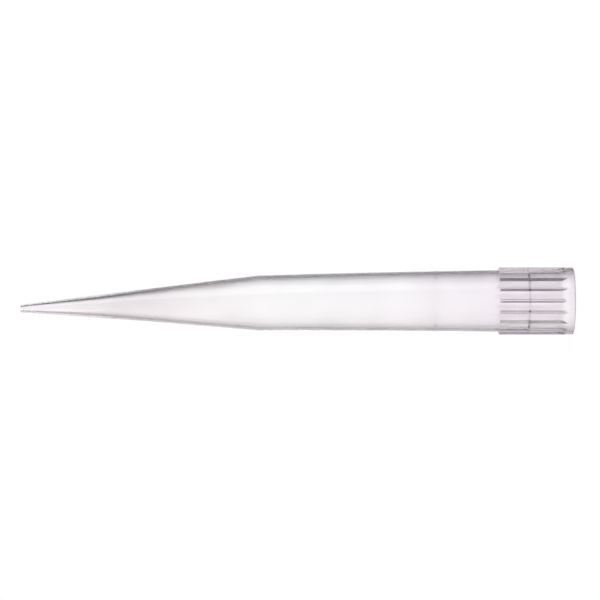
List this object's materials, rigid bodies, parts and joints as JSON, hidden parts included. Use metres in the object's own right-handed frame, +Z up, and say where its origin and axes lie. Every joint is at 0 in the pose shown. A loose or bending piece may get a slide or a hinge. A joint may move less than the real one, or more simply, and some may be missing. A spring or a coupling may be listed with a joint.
{
  "type": "pipette tip",
  "caption": "Disposable pipette tip: a thin tapered tube with a ribbed collar round its wide mouth, a slim barrel and a long cone that ends in a fine orifice.",
  "frame": {"origin": "centre of the flat rim of the mouth, the wide end that the tip stands on", "axes": "+Z up the collar's axis to the small orifice, -Y the front, where one rib faces, -X the side towards which the tip has bowed"},
  "size_m": [0.0148, 0.0148, 0.12],
  "materials": {
    "polypropylene": "natural translucent polypropylene with no dye, milky, with a soft moulded gloss"
  },
  "bodies": {
    "root": {"pipette_tip": "polypropylene"}
  },
  "joints": []
}
